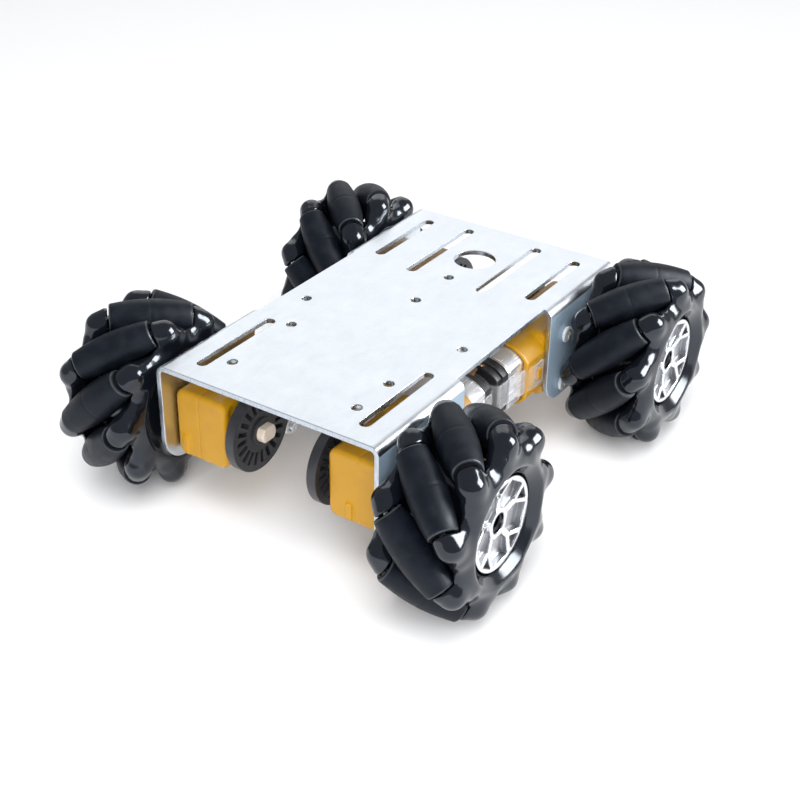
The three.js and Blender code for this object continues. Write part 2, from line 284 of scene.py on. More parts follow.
# Turns a plate drawn in (Y, Z) and thickened along Z onto X, and one drawn in (Z, X) onto Y.
ALONG_X = Matrix(((0, 0, 1, 0), (1, 0, 0, 0), (0, 1, 0, 0), (0, 0, 0, 1)))
ALONG_Y = Matrix(((0, 1, 0, 0), (0, 0, 1, 0), (1, 0, 0, 0), (0, 0, 0, 1)))


# ---- Distance fields ----


def blend(a, b, k):
    """The union of two fields, with a fillet of about that size."""
    h = np.clip(0.5 + 0.5 * (b - a) / k, 0, 1)
    return b * (1 - h) + a * h - k * h * (1 - h)


def cut(a, b, k=0.2):
    """Field a without field b."""
    return -blend(-a, b, k)


def polygon(x, y, corners):
    """Signed distance in a plane to a polygon, negative inside."""
    corners = np.asarray(corners, float)
    best = np.full(x.shape, 1e9)
    inside = np.zeros(x.shape, bool)
    for (ax, ay), (bx, by) in zip(corners, np.roll(corners, -1, axis=0)):
        ex, ey = bx - ax, by - ay
        t = np.clip(((x - ax) * ex + (y - ay) * ey) / (ex * ex + ey * ey), 0, 1)
        best = np.minimum(best, (x - ax - t * ex) ** 2 + (y - ay - t * ey) ** 2)
        if ay != by:
            crosses = (ay > y) != (by > y)
            inside ^= crosses & (x < ex * (y - ay) / ey + ax)
    return np.where(inside, -1, 1) * np.sqrt(best)


def cone(p, a, b, ra, rb):
    """A rounded bar from a to b, whose radius goes from ra to rb."""
    a, b = np.asarray(a, float), np.asarray(b, float)
    along = b - a
    t = sum((p[i] - a[i]) * along[i] for i in range(3)) / (along @ along)
    t = np.clip(t, 0, 1)
    away = sum((p[i] - a[i] - t * along[i]) ** 2 for i in range(3))
    return np.sqrt(away) - (ra + (rb - ra) * t)


def box_field(p, low, high, radius):
    """A box with its edges rounded."""
    low, high = np.asarray(low, float), np.asarray(high, float)
    middle, half = (low + high) / 2, (high - low) / 2 - radius
    q = [np.abs(p[i] - middle[i]) - half[i] for i in range(3)]
    outside = np.sqrt(sum(np.maximum(c, 0) ** 2 for c in q))
    return outside + np.minimum(np.maximum(np.maximum(q[0], q[1]), q[2]), 0) - radius


def slab(d, position, low, high, radius):
    """A flat outline of signed distance d, thick from low to high, with its edges rounded."""
    w = np.abs(position - (low + high) / 2) - (high - low) / 2
    u, v = d + radius, w + radius
    outside = np.sqrt(np.maximum(u, 0) ** 2 + np.maximum(v, 0) ** 2)
    return outside + np.minimum(np.maximum(u, v), 0) - radius


def smoothed(field, passes):
    """The field with its creases rounded by about a voxel."""
    for _ in range(passes):
        for axis in range(3):
            padded = np.concatenate([field.take([0], axis), field, field.take([-1], axis)], axis)
            before = padded.take(range(field.shape[axis]), axis)
            after = padded.take(range(2, field.shape[axis] + 2), axis)
            field = (before + 2 * field + after) / 4
    return field


def grid(low, high, voxel):
    axes = [np.arange(a, b + voxel, voxel) for a, b in zip(low, high)]
    return np.meshgrid(*axes, indexing="ij")


def surface(name, field, low, voxel, sharp):
    """The mesh of a field's zero surface."""
    volume = openvdb.FloatGrid(3 * voxel)
    volume.copyFromArray(np.clip(field, -3 * voxel, 3 * voxel).astype(np.float32))
    points, quads = volume.convertToQuads(0.0)
    points = np.asarray(points, float) * voxel + np.asarray(low, float)
    return mesh_from(name, points, quads.tolist(), sharp)


# ---- Materials ----


COOL_GLOSS = (0.84, 0.91, 1.0, 1)  # tint of the gloss on the black pieces


class Look:
    """One node-based material. Lengths are in millimetres on the surface."""

    def __init__(self, name, colour, roughness, metallic=0.0, **sockets):
        self.material = bpy.data.materials.new(name)
        self.material.use_nodes = True
        self.tree = self.material.node_tree
        self.shader = self.tree.nodes["Principled BSDF"]
        self.shader.inputs["Base Color"].default_value = (*colour, 1)
        self.shader.inputs["Roughness"].default_value = roughness
        self.shader.inputs["Metallic"].default_value = metallic
        for socket, value in sockets.items():
            self.shader.inputs[socket.replace("_", " ")].default_value = value
        self.colour = colour
        place = self.tree.nodes.new("ShaderNodeTexCoord")
        self.place = place.outputs["Object"]
        self.bumps = None

    def node(self, kind, **inputs):
        made = self.tree.nodes.new(kind)
        for socket, value in inputs.items():
            target = made.inputs[socket.replace("_", " ")]
            if isinstance(value, bpy.types.NodeSocket):
                self.tree.links.new(value, target)
            else:
                target.default_value = value
        return made

    def stretched(self, scale):
        return self.node("ShaderNodeMapping", Vector=self.place, Scale=scale).outputs[0]

    def noise(self, size, detail=3.0, stretch=None, roughness=0.5):
        """Noise from 0 to 1 whose blobs have about that size."""
        where = self.stretched(stretch) if stretch else self.place
        made = self.node("ShaderNodeTexNoise", Vector=where, Detail=detail, Roughness=roughness)
        made.inputs["Scale"].default_value = 1 / (size * MM)
        return made.outputs["Fac"]

    def ramp(self, value, low, high, start, end):
        """The value's stretch from low to high turned into start to end."""
        made = self.node("ShaderNodeMapRange", Value=value)
        made.inputs["From Min"].default_value = low
        made.inputs["From Max"].default_value = high
        made.inputs["To Min"].default_value = start
        made.inputs["To Max"].default_value = end
        return made.outputs[0]

    def tint(self, factor, other):
        """Mixes another colour over what the material has so far."""
        socket = self.shader.inputs["Base Color"]
        made = self.tree.nodes.new("ShaderNodeMix")
        made.data_type = "RGBA"
        before = socket.links[0].from_socket if socket.is_linked else None
        if before:
            self.tree.links.new(before, made.inputs[6])
        else:
            made.inputs[6].default_value = (*self.colour, 1)
        made.inputs[7].default_value = (*other, 1)
        self.tree.links.new(factor, made.inputs[0])
        self.tree.links.new(made.outputs[2], socket)
        return self

    def rough(self, factor, low, high, start, end):
        """Roughness from start to end as the factor goes from low to high."""
        made = self.ramp(factor, low, high, start, end)
        self.tree.links.new(made, self.shader.inputs["Roughness"])
        return self

    def bump(self, height, depth):
        """Adds relief of that depth, in millimetres."""
        made = self.node("ShaderNodeBump", Height=height)
        made.inputs["Distance"].default_value = depth * MM
        made.inputs["Strength"].default_value = 1.0
        if self.bumps:
            self.tree.links.new(self.bumps, made.inputs["Normal"])
        self.bumps = made.outputs[0]
        self.tree.links.new(self.bumps, self.shader.inputs["Normal"])
        return self


def deck_look(name="zinc_plated_sheet", colour=(0.67, 0.705, 0.745), metallic=1.0):
    look = Look(name, colour, 0.33, metallic)
    cloud = look.noise(9, 4)
    fine = look.noise(0.9, 3)
    grain = look.noise(2.2, 4, stretch=(1.0, 0.35, 1.0), roughness=0.6)
    look.tint(look.ramp(cloud, 0.42, 0.7, 0, 0.55), tuple(c * 1.09 for c in colour))
    look.tint(look.ramp(fine, 0.5, 0.75, 0, 0.35), tuple(c * 0.88 for c in colour))
    look.rough(grain, 0.3, 0.7, 0.29, 0.38)
    look.bump(grain, 0.005).bump(fine, 0.004)
    return look.material


def cut_edge_look():
    look = Look("sheared_edge", (0.55, 0.60, 0.66), 0.3, 1.0)
    lines = look.noise(0.5, 3, stretch=(1.0, 1.0, 0.15))
    look.tint(look.ramp(lines, 0.4, 0.7, 0, 0.5), (0.36, 0.40, 0.46))
    look.rough(lines, 0.3, 0.7, 0.22, 0.45)
    look.bump(lines, 0.02)
    return look.material


def gearbox_look():
    look = Look("amber_plastic", (0.47, 0.24, 0.004), 0.3)
    look.shader.inputs["Subsurface Weight"].default_value = 0.25
    look.shader.inputs["Subsurface Radius"].default_value = (1.0, 0.45, 0.08)
    look.shader.inputs["Subsurface Scale"].default_value = 0.003
    cloud = look.noise(6, 3)
    spots = look.noise(0.7, 3)
    look.tint(look.ramp(cloud, 0.45, 0.75, 0, 0.5), (0.40, 0.185, 0.003))
    look.rough(spots, 0.3, 0.7, 0.3, 0.44)
    look.bump(spots, 0.02).bump(look.noise(0.22, 2), 0.006)
    return look.material


def hub_look():
    look = Look("gloss_black_plastic", (0.0035, 0.0045, 0.007), 0.13,
                Specular_IOR_Level=0.65, Specular_Tint=COOL_GLOSS)
    dust = look.noise(0.25, 4, roughness=0.7)
    look.tint(look.ramp(dust, 0.62, 0.8, 0, 0.4), (0.018, 0.019, 0.022))
    look.rough(dust, 0.4, 0.75, 0.12, 0.22)
    look.bump(dust, 0.002)
    return look.material


def rubber_look(name="roller_rubber", colour=(0.0032, 0.0046, 0.0078), roughness=0.5):
    look = Look(name, colour, roughness, Specular_IOR_Level=0.28,
                Specular_Tint=COOL_GLOSS)
    fine = look.noise(0.16, 3, roughness=0.65)
    worn = look.noise(3.5, 4)
    brighter = tuple(min(1, c * 1.8 + 0.003) for c in colour)
    look.tint(look.ramp(worn, 0.45, 0.75, 0, 0.7), brighter)
    look.rough(worn, 0.35, 0.7, roughness - 0.06, roughness + 0.1)
    look.bump(fine, 0.02).bump(look.noise(1.1, 3), 0.02)
    return look.material


def chrome_look():
    look = Look("bright_chrome", (0.72, 0.73, 0.75), 0.1, 1.0)
    haze = look.noise(1.5, 4)
    look.tint(look.ramp(haze, 0.45, 0.7, 0, 0.4), (0.60, 0.62, 0.65))
    look.rough(haze, 0.35, 0.7, 0.08, 0.18)
    look.bump(look.noise(2.5, 2), 0.01)
    return look.material


def satin_look():
    look = Look("satin_chrome", (0.43, 0.44, 0.46), 0.34, 1.0)
    grain = look.noise(0.3, 4)
    look.tint(look.ramp(grain, 0.4, 0.7, 0, 0.6), (0.32, 0.33, 0.35))
    look.rough(grain, 0.3, 0.7, 0.3, 0.5)
    look.bump(grain, 0.01)
    return look.material


def steel_look(name="motor_steel", colour=(0.74, 0.75, 0.77), stretch=(1.0, 0.05, 1.0),
               metallic=1.0):
    look = Look(name, colour, 0.22, metallic)
    lines = look.noise(0.5, 4, stretch=stretch, roughness=0.6)
    spots = look.noise(2.5, 3)
    look.tint(look.ramp(spots, 0.45, 0.75, 0, 0.5), tuple(c * 0.8 for c in colour))
    look.rough(lines, 0.3, 0.7, 0.14, 0.3)
    look.bump(lines, 0.006)
    return look.material


def plastic_look(name, colour, roughness, other=None, fine=0.3):
    look = Look(name, colour, roughness)
    grain = look.noise(fine, 3)
    cloud = look.noise(3.0, 3)
    other = other or tuple(min(1, c * 1.5 + 0.004) for c in colour)
    look.tint(look.ramp(cloud, 0.42, 0.72, 0, 0.6), other)
    look.rough(grain, 0.3, 0.7, roughness - 0.07, roughness + 0.08)
    look.bump(grain, 0.012)
    return look.material


def clear_look():
    look = Look("clear_plastic", (0.93, 0.93, 0.95), 0.12)
    look.shader.inputs["Transmission Weight"].default_value = 0.85
    look.shader.inputs["IOR"].default_value = 1.2
    haze = look.noise(1.2, 3)
    look.tint(look.ramp(haze, 0.45, 0.7, 0, 0.5), (0.80, 0.80, 0.83))
    look.rough(haze, 0.35, 0.7, 0.08, 0.22)
    look.bump(haze, 0.03)
    return look.material


LOOKS = {
    "deck": deck_look(),
    # Outer faces of the tabs: a darker, bluer, less metallic copy of the sheet, which paints in the
    # reflection of shaded floor.
    "tab": deck_look("tab_face_painted_reflection", (0.36, 0.48, 0.60), 0.35),
    "cut_edge": cut_edge_look(),
    "gearbox": gearbox_look(),
    "hub": hub_look(),
    "rubber": rubber_look(),
    # End rims of the rollers: glossier rubber, whose lighter colour is a painted edge highlight.
    "rubber_rim_painted_highlight": rubber_look("roller_rim_painted_highlight", (0.03, 0.033, 0.038), 0.28),
    "core": plastic_look("roller_core", (0.012, 0.012, 0.014), 0.35),
    "chrome": chrome_look(),
    "satin": satin_look(),
    "steel": steel_look(),
    "can": steel_look("can_steel", (0.86, 0.87, 0.89), metallic=0.72),
    "screw": steel_look("screw_steel", (0.80, 0.82, 0.84), (1.0, 1.0, 1.0), 0.5),
    "brass": steel_look("terminal_brass", (0.80, 0.50, 0.27), (1.0, 1.0, 1.0)),
    "end_cap": plastic_look("end_cap_plastic", (0.015, 0.015, 0.018), 0.32),
    "disc": plastic_look("disc_plastic", (0.018, 0.019, 0.023), 0.38),
    "axle": plastic_look("axle_plastic", (0.72, 0.62, 0.52), 0.42, (0.62, 0.52, 0.43)),
    "clear": clear_look(),
}


# ---- Placing ----


def put(name, mesh, matrix, body, looks, stands_for=()):
    """Places a mesh by a matrix in the row frame, in metres, and says what it rides on."""
    mesh = mesh.copy()
    mesh.transform(matrix)
    for look in looks:
        mesh.materials.append(LOOKS[look])
    obj = bpy.data.objects.new(name, mesh)
    SCENE.collection.objects.link(obj)
    normals = obj.modifiers.new("normals", "WEIGHTED_NORMAL")
    normals.keep_sharp = True
    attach(obj, body)
    if stands_for:
        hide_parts(*stands_for)


def frame_of(x_axis, y_axis, origin):
    """A matrix in the row frame from two axes at right angles and an origin, in metres."""
    x = Vector(x_axis).normalized()
    y = Vector(y_axis)
    y = (y - y.dot(x) * x).normalized()
    matrix = Matrix((x, y, x.cross(y))).transposed().to_4x4()
    matrix.translation = Vector(origin)
    return matrix


# ---- Deck ----


def deck_outline():
    """The outline of the flat sheet before it is folded."""
    tab_end = BEND_START + BEND_LENGTH + TAB_DROP - BEND_RADIUS
    half = DECK_LENGTH / 2
    r = TAB_CORNER
    quarter = [
        [(BEND_START, 0)],
        [(BEND_START, TAB_INNER_END)],
        arc(tab_end - r, TAB_INNER_END + r, r, -90, 0),
        arc(tab_end - r, half - r, r, 0, 90),
    ]
    right = np.concatenate([np.array(q, float) for q in quarter])
    upper = np.concatenate([right, (right * (-1, 1))[::-1]])
    return np.concatenate([upper[:-1], (upper * (-1, -1))[:-1]])


def fold(mesh):
    """Bends the flat sheet's sides down, its top face at z = 0."""
    bm = bmesh.new()
    bm.from_mesh(mesh)
    for side in (-1, 1):
        for i in range(FOLD_STEPS + 1):
            x = side * (BEND_START + BEND_LENGTH * i / FOLD_STEPS) * MM
            geometry = [*bm.verts, *bm.edges, *bm.faces]
            bmesh.ops.bisect_plane(bm, geom=geometry, plane_co=(x, 0, 0), plane_no=(1, 0, 0))
    for v in bm.verts:
        x, z = v.co.x / MM, v.co.z / MM
        side = 1 if x > 0 else -1
        past = abs(x) - BEND_START
        if past <= 0:
            continue
        angle = min(past / BEND_RADIUS, math.pi / 2)
        r = BEND_RADIUS + z
        below = max(0, past - BEND_LENGTH)
        v.co.x = side * (BEND_START + r * math.sin(angle)) * MM
        v.co.z = (-BEND_RADIUS + r * math.cos(angle) - below) * MM
    bm.to_mesh(mesh)
    bm.free()
    return mesh


def build_deck():
    """The sheet is cut out flat, given its materials and folded."""
    # On the flat sheet, a point of a tab lies at this X plus its drop below the deck's top
    flat_start = BEND_START + BEND_LENGTH - BEND_RADIUS
    loops = [deck_outline()]
    for side in (-1, 1):
        loops.append(slot_loop(side * SIDE_SLOT_X, FRONT_SLOT, SLOT_WIDTH))
        loops.append(slot_loop(side * SIDE_SLOT_X, REAR_OUTER_SLOT, SLOT_WIDTH))
        loops.append(slot_loop(side * REAR_INNER_SLOT_X, REAR_INNER_SLOT, SLOT_WIDTH))
        for end in (-1, 1):
            axle = side * (flat_start + DECK_ABOVE_AXLE)
            loops.append(circle(axle, end * AXLE_Y, AXLE_HOLE_RADIUS))
            for height in (-SCREW_HEIGHT, SCREW_HEIGHT):
                screw = side * (flat_start + DECK_ABOVE_AXLE + height)
                loops.append(circle(screw, end * (AXLE_Y - SCREW_INWARD), HOLE_RADIUS, 32))
    loops += [circle(x, y, HOLE_RADIUS, 32) for x, y in DECK_HOLES]
    loops.append(circle(0, CABLE_HOLE_Y, CABLE_HOLE_RADIUS, 96))
    mesh = plate("deck", loops, -SHEET, 0, bevel=0.22)
    for face in mesh.polygons:
        face.material_index = 1 if abs(face.normal.z) < 0.3 else 0
    mesh = fold(mesh)
    # The tabs' outer faces take the third material, a painted reflection of shaded floor.
    for face in mesh.polygons:
        outer = abs(face.center.x) / MM > DECK_WIDTH / 2 - 0.05 and abs(face.normal.x) > 0.95
        if face.material_index == 0 and outer:
            face.material_index = 2
    mesh = shaded(mesh, 30)
    low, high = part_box("chassis_plate")
    matrix = Matrix.Translation(((low.x + high.x) / 2, (low.y + high.y) / 2, high.z))
    put("deck", mesh, matrix, "chassis", ["deck", "cut_edge", "tab"],
        ["chassis_plate"])


# ---- Geared motor ----


def gearbox_mesh(bar_x, bar_low, bar_high):
    """Gearbox shell, with a raised bar on its end face from bar_low to bar_high."""
    voxel = 0.3
    low = (-10.4, -11.5, -12.4)
    high = (10.9, 39.7, 12.4)
    p = grid(low, high, voxel)
    x, y, z = p
    half_w, half_h = GEARBOX_WIDTH / 2, GEARBOX_HEIGHT / 2
    section = np.abs(x) - half_w + GEARBOX_CORNER, np.abs(z) - half_h + GEARBOX_CORNER
    round_box = np.hypot(np.maximum(section[0], 0), np.maximum(section[1], 0)) - GEARBOX_CORNER
    round_box += np.minimum(np.maximum(section[0], section[1]), 0)
    body = slab(round_box, y, GEARBOX_FRONT, GEARBOX_MAIN, 1.5)
    ring = np.maximum(np.hypot(x, z) - COLLAR_RADIUS, np.abs(x) - half_w)
    collar = slab(ring, y, GEARBOX_MAIN - 6, GEARBOX_END, 0.7)
    field = blend(body, collar, 1.0)
    # Mouth of the collar, round the motor can
    can = np.maximum(np.hypot(x, z) - CAN_RADIUS - 0.25, np.abs(x) - CAN_FLAT - 0.25)
    field = cut(field, slab(can, y, GEARBOX_END - 4, GEARBOX_END + 4, 0.2), 0.2)
    # Lugs for the strap
    for side in (-1, 1):
        start, end = sorted((side * 9, side * 10.4))
        lug = box_field(p, (start, 29.9, -2.0), (end, 32.7, 2.0), 0.3)
        field = np.minimum(field, lug)
    bar_start = (bar_x - BAR_HALF, BAR_FRONT, bar_low)
    bar = box_field(p, bar_start, (bar_x + BAR_HALF, BAR_BACK, bar_high), 0.35)
    field = blend(field, bar, 0.3)
    # Groove where the two halves meet
    groove = np.maximum(np.abs(x - 0.8) - 0.16, -(field + 0.28))
    field = np.maximum(field, -groove)
    # Holes for the output axle and the motor screws
    bores = [(0, 0, AXLE_BORE_RADIUS)]
    bores += [(SCREW_INWARD, s * SCREW_HEIGHT, HOLE_RADIUS) for s in (-1, 1)]
    for by, bz, r in bores:
        field = cut(field, np.hypot(y - by, z - bz) - r, 0.3)
    # Moulded ribs and round sinks on the inboard face
    ribs = [(0, 0, 5.2)]
    ribs += [(SCREW_INWARD, s * SCREW_HEIGHT, 3.0) for s in (1, -1)]
    for by, bz, r in ribs:
        ring = np.abs(np.hypot(y - by, z - bz) - r) - 0.35
        field = cut(field, slab(ring, x, -half_w - 1, -half_w + 0.4, 0.1), 0.15)
    for by, bz in ((-6.3, 7.8), (-6.3, -7.8), (9, 7.0), (9, -7.0)):
        sink = np.hypot(y - by, z - bz) - 1.5
        field = cut(field, slab(sink, x, -half_w - 1, -half_w + 0.9, 0.1), 0.2)
    return surface("gearbox", field, low, voxel, 60)


def strap_mesh():
    """Clear strap: two arms along the motor's flats, joined round its end, and hooked on lugs."""
    half = 4.2
    reach = END_CAP_END + 0.75
    path = [(10.1, 28.9), (10.1, 34.5), (7.9, 44), (7.6, reach - 1.2, 1.6), (5.4, reach, 1.6)]
    path += [(-x, y, *r) for x, y, *r in path[::-1]]
    outer = rounded(path, 2.5, 5, closed=False)
    turn = np.gradient(outer, axis=0)
    turn /= np.linalg.norm(turn, axis=1)[:, None]
    inner = outer - np.stack([turn[:, 1], -turn[:, 0]], 1) * 0.55
    loop = np.concatenate([outer, inner[::-1]])
    return plate("strap", [loop], -half, half, bevel=0.12, steps=1)


def can_mesh():
    """Steel can, a cylinder with two flats."""
    outline = flatted(CAN_RADIUS, CAN_FLAT)[:, ::-1]
    can = plate("can", [rounded(outline, 0.9, 3)], GEARBOX_END - 3.5, CAN_END, 0.5, 4)
    return moved(can, ALONG_Y)


def end_cap_mesh():
    """Plastic end cap: a collar on the can, a smaller step, and a boss in the middle."""
    collar = flatted(END_CAP_RADIUS, END_CAP_FLAT)[:, ::-1]
    step = flatted(END_CAP_RADIUS - 0.7, END_CAP_FLAT - 0.5)[:, ::-1]
    parts = [
        plate("c1", [rounded(collar, 0.8, 3)], CAN_END - 0.5, CAN_END + 3.2, 0.25),
        plate("c2", [rounded(step, 0.8, 3)], CAN_END + 2, END_CAP_END, 0.5, 3),
        plate("c3", [circle(0, 0, 2.6)], CAN_END + 2, END_CAP_END + 0.35, 0.2),
    ]
    return joined("end_cap", [moved(part, ALONG_Y) for part in parts])


def can_rim_mesh():
    """The can's edge, pressed round the end cap."""
    outline = rounded(flatted(CAN_RADIUS - 0.1, CAN_FLAT - 0.05)[:, ::-1], 0.9, 3)
    opening = rounded(flatted(CAN_RADIUS - 0.6, CAN_FLAT - 0.5)[:, ::-1], 0.7, 3)
    rim = plate("can_rim", [outline, opening], CAN_END - 0.3, CAN_END + 0.5, 0.12)
    return moved(rim, ALONG_Y)


def terminals_mesh():
    """Two flat lugs on the end cap, leaning outwards."""
    outline = rounded([(-1.2, 0), (1.2, 0), (1.2, 3.6), (-1.2, 3.6)], 0.5)
    lugs = []
    for side in (-1, 1):
        lug = plate("tab", [outline], -0.2, 0.2, 0.06, 1)
        place = Matrix.Translation((0, 49.6, side * 8.6))
        lean = Matrix.Rotation(math.radians(20 * side), 4, "X")
        lugs.append(moved(lug, place @ lean))
    return joined("terminals", lugs)


def disc_mesh():
    """Encoder disc, with slots all round and a boss proud of its inner face."""
    half = DISC_SLOT_WIDTH / 2
    slot = rounded([
        (DISC_SLOT_FROM, -half),
        (DISC_SLOT_TO, -half),
        (DISC_SLOT_TO, half),
        (DISC_SLOT_FROM, half),
    ], 0.25, 2)
    loops = [circle(0, 0, DISC_RADIUS, 128)]
    for turn in 2 * math.pi * np.arange(DISC_SLOTS) / DISC_SLOTS:
        c, s = math.cos(turn), math.sin(turn)
        loops.append(slot @ np.array([[c, s], [-s, c]]))
    disc = plate("d", loops, DISC_INNER, DISC_INNER + DISC_THICKNESS, 0.3)
    boss_loop = circle(0, 0, DISC_BOSS_RADIUS)
    boss = plate("b", [boss_loop], DISC_INNER - DISC_BOSS_PROUD, DISC_INNER + 2, 0.3)
    return joined("encoder_disc", [moved(disc, ALONG_X), moved(boss, ALONG_X)])


def axle_mesh():
    """Output axle with its two flats, and a thicker piece on its inner end."""
    shaft = flatted(AXLE_RADIUS, AXLE_FLAT)
    tip = flatted(AXLE_RADIUS + 0.4, AXLE_FLAT + 0.45)
    axle = joined("output_axle", [
        plate("a", [rounded(shaft, 0.5, 3)], AXLE_INNER, AXLE_OUTER, 0.35, 3),
        plate("e", [rounded(tip, 0.6, 3)], AXLE_INNER - 0.8, DISC_INNER + 0.4, 0.5, 3),
    ])
    return moved(axle, Matrix.Rotation(math.pi / 2, 4, "X") @ ALONG_X)


def build_motors():
    # Local Z points down where side equals end, so those two gearboxes have the bar elsewhere
    boxes = {False: gearbox_mesh(-1.9, -10, -4.5), True: gearbox_mesh(5.6, 3.5, 10)}
    can = can_mesh()
    cap = end_cap_mesh()
    rim = can_rim_mesh()
    terminals = terminals_mesh()
    strap = strap_mesh()
    disc = disc_mesh()
    axle = axle_mesh()
    head = screw_head_mesh()
    nut = nut_mesh()

    for corner, side, end in CORNERS:
        centre = Vector(JOINTS[f"{corner}_wheel_spin"]["pos_m"])
        origin = Vector((0, centre.y, centre.z))
        unit = frame_of((side, 0, 0), (0, -end, 0), origin)
        middle = unit @ Matrix.Translation((GEARBOX_X * MM, 0, 0))
        put(f"{corner}_gearbox_shell", boxes[side == end], middle, "chassis",
            ["gearbox"], [f"{corner}_gearbox"])
        put(f"{corner}_motor_can", can, middle, "chassis", ["can"],
            [f"{corner}_motor"])
        put(f"{corner}_motor_rim", rim, middle, "chassis", ["steel"])
        put(f"{corner}_motor_end_cap", cap, middle, "chassis", ["end_cap"])
        put(f"{corner}_motor_terminals", terminals, middle, "chassis", ["brass"])
        put(f"{corner}_motor_strap", strap, middle, "chassis", ["clear"])
        wheel_body = f"{corner}_wheel"
        put(f"{corner}_encoder_disc", disc, unit, wheel_body, ["disc"],
            [f"{corner}_axle_and_encoder_disc"])
        put(f"{corner}_output_axle", axle, unit, wheel_body, ["axle"])
        inner_face = GEARBOX_X - GEARBOX_WIDTH / 2
        for index, height in enumerate((-SCREW_HEIGHT, SCREW_HEIGHT)):
            at = Matrix.Translation(Vector((DECK_WIDTH / 2, SCREW_INWARD, height)) * MM)
            put(f"{corner}_motor_screw_{index + 1}", head, unit @ at, "chassis",
                ["screw"])
            at = Matrix.Translation(Vector((inner_face, SCREW_INWARD, height)) * MM)
            put(f"{corner}_motor_nut_{index + 1}", nut, unit @ at, "chassis",
                ["screw"])


def screw_head_mesh():
    """Pan head with a cross recess, on the plane x = 0, and the first of its shank behind it."""
    voxel = 0.09
    low, high = (-1.9, -3.1, -3.1), (2.2, 3.1, 3.1)
    p = grid(low, high, voxel)
    x, y, z = p
    r = np.hypot(y, z)
    head = slab(r - 2.7, x, 0, 1.4, 0.7)
    shank = slab(r - 1.45, x, -1.7, 0.5, 0.1)
    field = blend(head, shank, 0.1)
    depth = 0.45 + 0.5 * np.hypot(y, z)
    for a, b in ((y, z), (z, y)):
        arm = np.maximum(np.maximum(np.abs(a) - 0.32, np.abs(b) - 1.35), depth - x)
        field = cut(field, arm, 0.1)
    return surface("screw_head", field, low, voxel, 50)


def nut_mesh():
    """Hexagon nut against the plane x = 0, on its -X side, with the screw's end in it."""
    voxel = 0.1
    low, high = (-4.2, -3.6, -3.6), (0.3, 3.6, 3.6)
    x, y, z = grid(low, high, voxel)
    hexagon = np.maximum(np.abs(y), np.abs(y * 0.5 + z * 0.866))
    hexagon = np.maximum(hexagon, np.abs(-y * 0.5 + z * 0.866)) - 2.75
    nut = slab(hexagon, x, -2.4, 0, 0.12)
    dome = np.hypot(y, z) + 0.9 * (np.abs(x + 1.2) - 1.2) - 2.8
    field = np.maximum(nut, dome)
    field = cut(field, np.hypot(y, z) - 1.65, 0.15)
    thread = 0.1 * np.abs(((x / 0.5) % 1) - 0.5)
    tip = slab(np.hypot(y, z) - 1.45 - thread, x, -3.7, -0.1, 0.3)
    return surface("nut", np.minimum(field, tip), low, voxel, 50)


# ---- Wheels ----


def roller_radius(along):
    """The barrel, a little fuller at its ends than one that stays inside the wheel's cylinder."""
    share = np.clip(np.abs(along) / ROLLER_HALF, 0, 1)
    exact = WHEEL_RADIUS - np.hypot(ROLLER_ORBIT, share * ROLLER_HALF * math.sin(TILT))
    return exact + ROLLER_FULLER * share**3


def roller_mesh():
    """A roller about X: rubber sleeve with a moulding line round its middle, on a core."""
    half = ROLLER_HALF
    middle, end_radius = (float(roller_radius(s)) for s in (0, half))
    outer = [(float(roller_radius(s)), s) for s in np.linspace(0.35, half - 0.36, 16)]
    right = [(middle - 0.06, 0.0), (middle - 0.04, 0.16), *outer, (end_radius - 0.04, half - 0.2),
             (end_radius - 0.3, half), (3.05, half), (2.95, half - 0.1), (2.9, half - 0.5),
             (1.5, half - 0.5), (1.4, half - 0.6)]
    left = [(r, -s) for r, s in right[:0:-1]]
    mesh = lathe("roller", right + left, 72, 28)
    for face in mesh.polygons:
        s = abs(face.center.x) / MM
        r = math.hypot(face.center.y, face.center.z) / MM
        # The end rim takes the second material, whose lighter colour is a painted edge highlight.
        if s > half - 0.3 and r > end_radius - 0.4:
            face.material_index = 1
        elif r < 2.97:
            face.material_index = 2
    return mesh


# Sections of the hub as (radius, x): outboard ring with the cap's seat, inboard ring with the
# axle's boss, and the drum between them. The mouths are cut out of everything.
OUTBOARD_RING = [
    (1.4, 8.2), (15.3, 8.2), (19.0, 9.9), (22.2, 11.0), (22.8, 11.7), (22.5, 12.5),
    (21.2, 13.6), (19.6, 14.7), (18.5, 15.2), (14.4, 15.2), (14.4, 9.6), (1.4, 9.6),
]
INBOARD_RING = [
    (3.0, -14), (5.5, -14), (5.6, -11.6), (14, -11.6), (17.0, -14.2), (18.6, -14.2),
    (20.6, -13.2), (22.3, -12.2), (22.7, -11.5), (22.2, -10.9), (19.0, -9.8), (15.3, -8.2),
    (3.0, -8.2),
]
DRUM = [(13.6, -9), (15.3, -9), (15.3, 9), (13.6, 9)]
OUTBOARD_MOUTH = [(0, 9.6), (14.4, 9.6), (14.5, 12.7), (17.6, 15.1), (18.2, 17), (0, 17)]
INBOARD_MOUTH = [(5.6, -17), (5.6, -11.6), (14, -11.6), (17.4, -14.2), (17.8, -17)]

# A finger runs from its root over a knuckle to its base. Each is (x, radius from the wheel's
# axis, distance sideways of the roller), with the finger's own radius there. On the inboard
# side the base is nearer the middle by INBOARD_STEP, and the knuckle by half of it.
FINGER_ROOT, ROOT_RADIUS = (8.6, 24.5, 8.6), 4.1
FINGER_KNUCKLE, KNUCKLE_RADIUS = (10.7, 23.9, 10.8), 3.9
FINGER_BASE, BASE_RADIUS = (11.2, 21.3, 12.0), 3.2
INBOARD_STEP = 0.7


def finger_spot(spot, nearer, end, hand):
    """A spot of the finger as a point, at that end of the roller in the wheel's own frame."""
    x, radius, sideways = spot
    z = end * hand * sideways
    return np.array([end * (x - nearer), math.sqrt(radius**2 - z**2), z])


